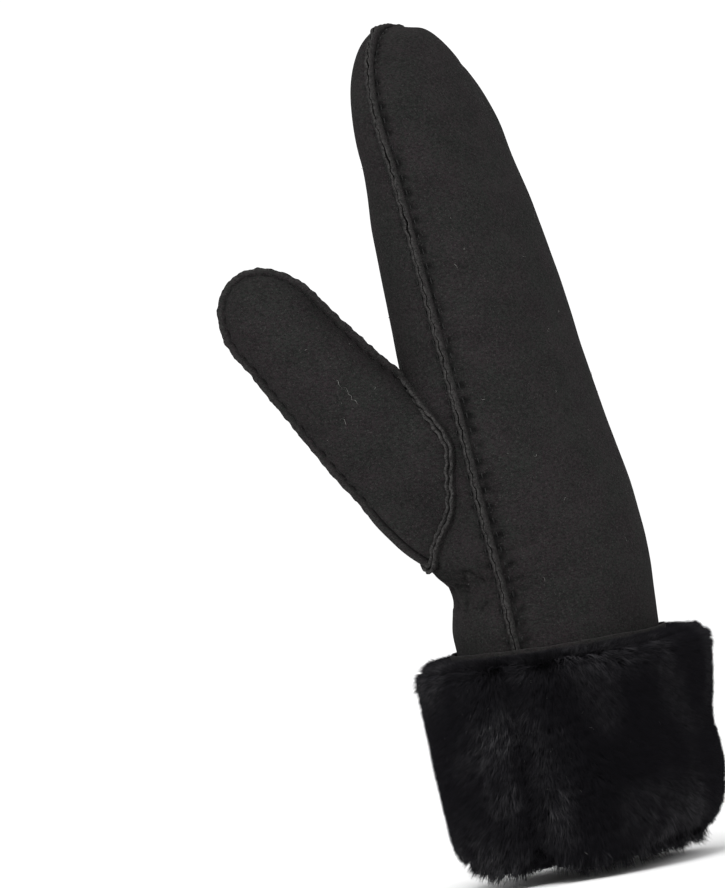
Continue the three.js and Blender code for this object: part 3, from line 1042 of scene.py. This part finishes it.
def pointed_tufts(pile, rng):
    """Tufts with points that hang along the pile's foot."""
    for number in range(POINTED_TUFTS):
        side, turn = around(POINTED_TUFTS, number + rng.random())
        low = rng.random()
        deep = 13 if side > 0 else 8
        point = cuff_outline(side, turn, mix(13, 7.5, low), mix(5.5, 12.5, low), mix(5.5, deep, low))
        away = Vector((point.x, point.y, 0)).normalized()
        if rng.random() < 1.1 * parting_notch(point.x, point.y, 4.5):
            continue
        parted = parting_pull(point)
        stray = Vector((rng.gauss(0, 0.22), rng.gauss(0, 0.22), 0))
        out = (DOWN + away * mix(0.45, 0.12, low) + parted * 0.45 + stray).normalized()
        lowest = foot_height(point) - 1 + rng.choice((0.1, 0.6, 1.6, 3.0, 5.0))
        reach = (point.z - lowest) / (-out.z * PILE)
        pile.add("pointed", point, away, out, away, min(reach, 1.3), 0.3 + 0.7 * ruffle_at(point))


def grow_pile(backing):
    """The whole pile over its backing."""
    rng = random.Random(PILE_SEED)
    pile = Pile(rng, PILE_SECTORS)
    standing_tufts(pile, rng, backing)
    pointed_tufts(pile, rng)
    pile.finish()
    return pile


def outside_hand(point):
    """About how far a point stands outside the hand's wall, in millimetres."""
    return -inside_hand(Vector((point.x, point.y, max(point.z, HAND_FOOT))))


# Lint caught on the suede and the pile


def lint_fibre(bm, rng, point, normal, length, curl):
    """A thin pale fibre that lies on a surface, in a few bends."""
    heading = normal.orthogonal().normalized()
    heading = Matrix.Rotation(rng.uniform(0, 2 * math.pi), 3, normal) @ heading
    path = [point.copy()]
    steps = 6
    for _ in range(steps):
        heading = Matrix.Rotation(rng.uniform(-curl, curl), 3, normal) @ heading
        point = point + heading * (length / steps) + normal * rng.uniform(-0.05, 0.05)
        path.append(point)
    thread_path(bm, path, 0.06, sides=3)


def on_wall(form, side, turn, way, lift):
    """A point lifted off a form's wall, and the way out of the wall there."""
    point, _ = wall_point(form, side, turn, way)
    normal = form.normal(way, side, turn)
    return form.place @ (point + normal * lift), form.place.to_3x3() @ normal


LINT_SEED = 7
HAND_LINT, THUMB_LINT, PILE_LINT = 45, 14, 150
# Ways and turns on the thumb's front along the long curled fibre and the short one
LINT_TRACKS = [
    [
        (74.8, 1.6),
        (73.2, 1.64),
        (72.1, 1.59),
        (70.5, 1.58),
        (69.8, 1.66),
        (68.6, 1.63),
        (67.4, 1.58),
        (66.4, 1.6),
        (65.4, 1.55),
        (64.2, 1.59),
        (62.8, 1.56),
    ],
    [(63.4, 1.2), (62.4, 1.22), (61.3, 1.19), (60.6, 1.17)],
]


def caught_lint():
    """A long curled fibre and a short one on the thumb, and many tiny ones over the mitten."""
    rng = random.Random(LINT_SEED)
    bm = bmesh.new()
    for track in LINT_TRACKS:
        thread_path(bm, [on_wall(thumb, 1, turn, way, 0.3)[0] for way, turn in track], 0.085, sides=4)
    for _ in range(HAND_LINT):
        side = rng.choice((1, -1))
        way, turn = rng.uniform(92, hand.shoulder), rng.uniform(0.15, math.pi - 0.15)
        point, normal = on_wall(hand, side, turn, way, 0.2)
        lint_fibre(bm, rng, point, normal, rng.uniform(0.5, 2.2), 1.1)
    for _ in range(THUMB_LINT):
        way, turn, side = rng.uniform(40, thumb.shoulder), rng.uniform(0.3, 2.8), rng.choice((1, -1))
        point, normal = on_wall(thumb, side, turn, way, 0.2)
        lint_fibre(bm, rng, point, normal, rng.uniform(0.4, 1.8), 1.1)
    for _ in range(PILE_LINT):
        side, turn = around(1000, rng.randrange(1000))
        z = rng.uniform(8, CUFF_HEIGHT - 6)
        point = cuff_outline(side, turn, z, -0.4)
        normal = Vector((point.x / CUFF_DEPTH**2, point.y / CUFF_WIDTH**2, 0)).normalized()
        lint_fibre(bm, rng, point, normal, rng.uniform(0.4, 2.6), 1.3)
    return bm


# Materials


class Graph:
    """A few short words for building a node tree."""

    def __init__(self, tree):
        self.tree = tree

    def node(self, kind, **inputs):
        made = self.tree.nodes.new(kind)
        for name, value in inputs.items():
            self.feed(made, name, value)
        return made

    def feed(self, node, name, value):
        target = node.inputs[int(name[1:])] if name.startswith("_") else node.inputs[name.replace("_", " ")]
        if isinstance(value, bpy.types.NodeSocket):
            self.tree.links.new(value, target)
        else:
            target.default_value = value

    def math(self, operation, a, b, clamp=False):
        made = self.node("ShaderNodeMath")
        made.operation = operation
        made.use_clamp = clamp
        self.feed(made, "_0", a)
        self.feed(made, "_1", b)
        return made.outputs[0]

    def spread(self, value, low, high, to_low=0.0, to_high=1.0):
        made = self.node("ShaderNodeMapRange", Value=value)
        made.clamp = True
        for name, level in (("From Min", low), ("From Max", high), ("To Min", to_low), ("To Max", to_high)):
            made.inputs[name].default_value = level
        return made.outputs[0]

    def mix_colour(self, share, a, b, blend="MIX"):
        made = self.node("ShaderNodeMix")
        made.data_type = "RGBA"
        made.blend_type = blend
        self.feed(made, "_0", share)
        self.feed(made, "_6", a)
        self.feed(made, "_7", b)
        return made.outputs[2]

    def noise(self, vector, scale, detail, roughness):
        made = self.node("ShaderNodeTexNoise", Vector=vector, Scale=scale, Detail=detail, Roughness=roughness)
        return made.outputs[0]

    def vector_math(self, operation, *values):
        made = self.node("ShaderNodeVectorMath")
        made.operation = operation
        for index, value in enumerate(values):
            self.feed(made, f"_{index}", value)
        return made.outputs[0]

    def attribute(self, name):
        made = self.node("ShaderNodeAttribute")
        made.attribute_name = name
        return made.outputs

    def where(self):
        return self.node("ShaderNodeTexCoord").outputs["Object"]

    def group(self, tree, **inputs):
        made = self.node("ShaderNodeGroup")
        made.node_tree = tree
        for name, value in inputs.items():
            self.feed(made, name, value)
        return made.outputs

    def bump(self, shader, height, strength, distance):
        made = self.node("ShaderNodeBump", Height=height, Strength=strength, Distance=distance)
        self.feed(shader, "Normal", made.outputs["Normal"])


def new_group(name, inputs, outputs):
    """A node group with named sockets: its graph, what it is given and where its results go."""
    tree = bpy.data.node_groups.new(name, "ShaderNodeTree")
    for way, sockets in (("INPUT", inputs), ("OUTPUT", outputs)):
        for title, (kind, value) in sockets.items():
            made = tree.interface.new_socket(name=title, in_out=way, socket_type="NodeSocket" + kind)
            if value is not None:
                made.default_value = value
    graph = Graph(tree)
    return graph, graph.node("NodeGroupInput").outputs, graph.node("NodeGroupOutput")


def nap_group():
    """Mottled, napped skin: its colour and the height of its nap over Object coordinates."""
    graph, given, result = new_group(
        "napped_skin",
        {
            "Vector": ("Vector", None),
            "Dark": ("Color", (0.02, 0.02, 0.02, 1)),
            "Light": ("Color", (0.03, 0.03, 0.03, 1)),
            "Mottle": ("Float", 0.5),
        },
        {"Color": ("Color", None), "Height": ("Float", None)},
    )
    laid = graph.vector_math("MULTIPLY", given["Vector"], (1.0, 1.0, 1.8))
    brushed = graph.noise(laid, 55, 3, 0.6)
    nap = graph.noise(laid, 780, 3, 0.75)
    grain = graph.noise(laid, 2300, 2, 0.8)
    fine = graph.math("ADD", graph.math("MULTIPLY", nap, 0.42), graph.math("MULTIPLY", grain, 0.46))
    level = graph.math("ADD", graph.math("MULTIPLY", brushed, 0.12), fine)
    colour = graph.mix_colour(graph.spread(level, 0.43, 0.57), given["Dark"], given["Light"])
    blotches = graph.noise(given["Vector"], 60, 3, 0.65)
    speckles = graph.noise(given["Vector"], 1300, 1, 0.6)
    for spots, low, high, greenish, reddish in (
        (blotches, 0.38, 0.62, (0.46, 0.5, 0.47, 1), (0.545, 0.49, 0.515, 1)),
        (speckles, 0.35, 0.65, (0.45, 0.535, 0.5, 1), (0.59, 0.455, 0.53, 1)),
    ):
        tint = graph.mix_colour(graph.spread(spots, low, high), greenish, reddish)
        colour = graph.mix_colour(given["Mottle"], colour, tint, "OVERLAY")
    graph.feed(result, "Color", colour)
    half_nap, half_grain = (graph.math("MULTIPLY", part, 0.5) for part in (nap, grain))
    graph.feed(result, "Height", graph.math("ADD", half_nap, half_grain))
    return graph.tree


def lint_group():
    """Sparse pale specks of lint."""
    graph, given, result = new_group(
        "lint_specks",
        {
            "Vector": ("Vector", None),
            "Scale": ("Float", 190.0),
            "Amount": ("Float", 0.04),
            "Size": ("Float", 0.13),
        },
        {"Mask": ("Float", None)},
    )
    cells = graph.node("ShaderNodeTexVoronoi", Vector=given["Vector"], Scale=given["Scale"])
    chosen = graph.math("LESS_THAN", cells.outputs["Color"], given["Amount"])
    shrunk = graph.math("DIVIDE", cells.outputs["Distance"], given["Size"])
    near = graph.spread(shrunk, 0.4, 1.0, 1.0, 0.0)
    graph.feed(result, "Mask", graph.math("MULTIPLY", chosen, near))
    return graph.tree


NAP = nap_group()
LINT = lint_group()


def with_lint(graph, where, under, colour, strength, **inputs):
    """A colour with specks of lint over it."""
    mask = graph.group(LINT, Vector=where, **inputs)["Mask"]
    return graph.mix_colour(graph.math("MULTIPLY", mask, strength), under, colour)


def new_material(name, roughness, specular):
    material = bpy.data.materials.new(name)
    material.use_nodes = True
    shader = material.node_tree.nodes["Principled BSDF"]
    shader.inputs["Roughness"].default_value = roughness
    shader.inputs["Specular IOR Level"].default_value = specular
    return material, Graph(material.node_tree), shader


def suede_material(name, dark, light, raw_edge_and_highlight, mottle):
    """Black suede with a lighter raw edge that also carries a painted highlight along the ridge top, and
    painted shade in the valleys, stitch dimples and hollows beside a seam.
    """
    material, graph, shader = new_material(name, 0.95, 0.02)
    where = graph.where()
    nap = graph.group(NAP, Vector=where, Dark=dark, Light=light, Mottle=mottle)
    mask = graph.attribute("edge")["Fac"]
    # The raised mask gives the raw edge its lighter cut colour and a painted highlight along the ridge top
    raised = graph.spread(mask, 0.1, 1.0)
    # Painted shade from the negative edge values: the valleys beside a seam, its stitch dimples and the
    # relief's hollows
    painted_valley_shade = graph.spread(mask, -1.0, 0.0, 0.85, 0.0)
    fibres = graph.noise(where, 1100, 3, 0.8)
    frayed_and_highlit = graph.math("MULTIPLY", raised, graph.spread(fibres, 0.42, 0.6, 0.1, 1.0))
    worn = graph.spread(graph.noise(where, 480, 4, 0.8), 0.42, 0.58, 0.0, 0.75)
    scuffed = graph.mix_colour(graph.math("MULTIPLY", raised, worn, clamp=True), nap["Color"], dark)
    with_edge = graph.mix_colour(frayed_and_highlit, scuffed, raw_edge_and_highlight)
    with_painted_shade = graph.mix_colour(painted_valley_shade, with_edge, (0.005, 0.005, 0.005, 1))
    fleck, speck = (0.05, 0.049, 0.047, 1), (0.16, 0.158, 0.15, 1)
    flecked = with_lint(graph, where, with_painted_shade, fleck, 0.4, Scale=1300.0, Amount=0.3, Size=0.4)
    finished = with_lint(graph, where, flecked, speck, 0.5, Scale=190.0, Amount=0.02)
    graph.feed(shader, "Base Color", finished)
    graph.bump(shader, nap["Height"], 0.6, 0.0007)
    return material


def fur_material(name, root, tip, ruffled):
    """Black pile, painted a little lighter at its roots to offset the shade between the hairs, with lighter
    ruffled patches and a little lint.
    """
    material, graph, shader = new_material(name, 0.75, 0.03)
    where = graph.where()
    strand = graph.node("ShaderNodeUVMap")
    strand.uv_map = "strand"
    split = graph.node("ShaderNodeSeparateXYZ", Vector=strand.outputs["UV"]).outputs
    up = graph.spread(split["Y"], 0.25, 1.0)
    strands = graph.math("ADD", graph.noise(where, 300, 2, 0.6), graph.math("MULTIPLY", split["X"], 0.5))
    streaks = graph.spread(strands, 0.6, 1.0, 0.05, 1.0)
    streaked = graph.math("MULTIPLY", graph.attribute("ruffle")["Fac"], streaks, clamp=True)
    # Roots lighter than the tips: painted light that offsets the shade between the hairs
    grown = graph.mix_colour(up, root, graph.mix_colour(streaked, tip, ruffled))
    finished = with_lint(graph, where, grown, (0.2, 0.2, 0.21, 1), 0.7, Scale=130.0, Amount=0.02)
    graph.feed(shader, "Base Color", finished)
    # The hairs take most of their light as the ground they stand on would
    ground = graph.node("ShaderNodeVectorTransform", Vector=graph.attribute("ground")["Vector"])
    ground.vector_type = "NORMAL"
    ground.convert_from, ground.convert_to = "OBJECT", "WORLD"
    shared = graph.node("ShaderNodeMix")
    shared.data_type = "VECTOR"
    graph.feed(shared, "_0", 0.6)
    graph.feed(shared, "_4", graph.node("ShaderNodeNewGeometry").outputs["Normal"])
    graph.feed(shared, "_5", ground.outputs[0])
    graph.feed(shader, "Normal", graph.vector_math("NORMALIZE", shared.outputs[1]))
    return material


def plain_material(name, dark, light, roughness):
    """Spun or loose fibre in two close tones."""
    material, graph, shader = new_material(name, roughness, 0.2)
    strands = graph.noise(graph.where(), 1400, 2, 0.6)
    graph.feed(shader, "Base Color", graph.mix_colour(graph.spread(strands, 0.4, 0.6), dark, light))
    return material


def wool_material(name, dark, light):
    """Clipped wool inside the mitten and under the pile."""
    material, graph, shader = new_material(name, 0.95, 0.1)
    curls = graph.noise(graph.where(), 260, 5, 0.7)
    graph.feed(shader, "Base Color", graph.mix_colour(graph.spread(curls, 0.35, 0.7), dark, light))
    graph.bump(shader, curls, 1.0, 0.002)
    return material


suede = suede_material(
    "black_suede",
    dark=(0.0094, 0.0093, 0.0092, 1),
    light=(0.0215, 0.0211, 0.0206, 1),
    raw_edge_and_highlight=(0.051, 0.0495, 0.0485, 1),
    mottle=0.55,
)
wool = wool_material("clipped_wool", (0.002, 0.002, 0.0025, 1), (0.011, 0.011, 0.013, 1))
fur = fur_material(
    "black_pile",
    root=(0.0126, 0.012, 0.0143, 1),
    tip=(0.0092, 0.0088, 0.0108, 1),
    ruffled=(0.072, 0.071, 0.0745, 1),
)
thread = plain_material("black_thread", (0.003, 0.003, 0.003, 1), (0.009, 0.009, 0.009, 1), 0.6)
lint = plain_material("pale_lint", (0.07, 0.07, 0.067, 1), (0.19, 0.19, 0.18, 1), 0.8)
# The backing under the pile is coloured lighter than the hair tips: painted light that offsets the shade
# between the hairs
bed = wool_material("pile_roots", (0.012, 0.0115, 0.0137, 1), (0.019, 0.018, 0.0215, 1))

# The mitten's pieces
for form, side, columns, name, node in (
    (hand, 1, HAND_COLUMNS, "suede_back", "back_panel"),
    (hand, -1, HAND_COLUMNS, "suede_palm", "palm_panel"),
    (thumb, 1, THUMB_COLUMNS, "suede_thumb_front", "thumb_front_panel"),
    (thumb, -1, THUMB_COLUMNS, "suede_thumb_back", "thumb_back_panel"),
):
    piece_from(sewn_panel(form, side, columns), name, [suede, wool], [node])
stitches = bmesh.new()
seam_stitches(stitches, hand, CUFF_HEIGHT + 3, hand.length - 4)
seam_stitches(stitches, thumb, 62, thumb.length - 4)
piece_from(stitches, "seam_stitches", [thread])
piece_from(caught_lint(), "lint_fibres", [lint])
piece_from(joint_edge(1), "joint_edge_palm", [suede])
piece_from(joint_edge(-1), "joint_edge_thumb", [suede])
piece_from(cuff_band(), "cuff_skin", [suede], ["cuff_band"])

backing = pile_backing()
pile = grow_pile(backing)
piece_from(backing, "pile_bed", [bed], ["cuff_fur"])
for number, group in enumerate(pile.groups):
    part = piece_from(group, f"pile_{number + 1}", [fur], smooth=False)
    shade = part.data.attributes.new("ruffle", "FLOAT", "POINT")
    shade.data.foreach_set("value", pile.shades[number])
    ground = part.data.attributes.new("ground", "FLOAT_VECTOR", "POINT")
    ground.data.foreach_set("vector", pile.grounds[number])

# The stage: a pale floor, soft studio light and the photograph's viewpoint
floor_mesh = bpy.data.meshes.new("floor")
floor_bm = bmesh.new()
bmesh.ops.create_grid(floor_bm, x_segments=1, y_segments=1, size=6)
floor_bm.to_mesh(floor_mesh)
floor_bm.free()
floor = bpy.data.objects.new("floor", floor_mesh)
bpy.context.scene.collection.objects.link(floor)
floor_material, _, floor_shader = new_material("pale_floor", 0.9, 0.0)
floor_shader.inputs["Base Color"].default_value = (0.95, 0.95, 0.95, 1)
floor_mesh.materials.append(floor_material)

world = bpy.data.worlds.new("studio")
world.use_nodes = True
background = world.node_tree.nodes["Background"].inputs
background["Color"].default_value = (1, 1, 1, 1)
background["Strength"].default_value = 1.08
bpy.context.scene.world = world
bpy.context.scene.view_settings.view_transform = "Standard"


LIT_POINT = (0, 0, 0.15)


def soft_light(name, place, target, size, power):
    data = bpy.data.lights.new(name, "AREA")
    data.size = size
    data.energy = power
    light = bpy.data.objects.new(name, data)
    light.location = place
    light.rotation_euler = (Vector(target) - Vector(place)).to_track_quat("-Z", "Y").to_euler()
    bpy.context.scene.collection.objects.link(light)


soft_light("key", (0.2, -2.0, 1.9), LIT_POINT, 1.2, 44)
soft_light("fill", (1.7, -0.9, 0.9), LIT_POINT, 1.4, 2)

AZIMUTH = math.radians(19)
ELEVATION = math.radians(0.8)
ROLL = math.radians(8.5)
MM_PER_PIXEL = 0.3455
IMAGE_HEIGHT = 888
DISTANCE = 3.6
SENSOR = 24
# How far the middle of the picture lies to the right of the hand's axis and above the floor, in metres
AIM_RIGHT, AIM_UP = -0.0568, 0.1577


def place_camera():
    right = Vector((math.cos(AZIMUTH), math.sin(AZIMUTH), 0))
    flat = math.cos(ELEVATION)
    ahead = Vector((-math.sin(AZIMUTH) * flat, math.cos(AZIMUTH) * flat, -math.sin(ELEVATION)))
    up = right.cross(ahead)
    rolled_right = right * math.cos(ROLL) - up * math.sin(ROLL)
    rolled_up = right * math.sin(ROLL) + up * math.cos(ROLL)
    target = HAND_AXIS + right * AIM_RIGHT + Vector((0, 0, AIM_UP))
    data = bpy.data.cameras.new("camera")
    data.sensor_fit = "VERTICAL"
    data.sensor_height = SENSOR
    data.lens = SENSOR * DISTANCE / (IMAGE_HEIGHT * MM_PER_PIXEL / 1000)
    data.clip_end = 20
    camera = bpy.data.objects.new("camera", data)
    place = Matrix((rolled_right, rolled_up, -ahead)).transposed().to_4x4()
    place.translation = target - ahead * DISTANCE
    camera.matrix_world = place
    bpy.context.scene.collection.objects.link(camera)
    bpy.context.scene.camera = camera


place_camera()
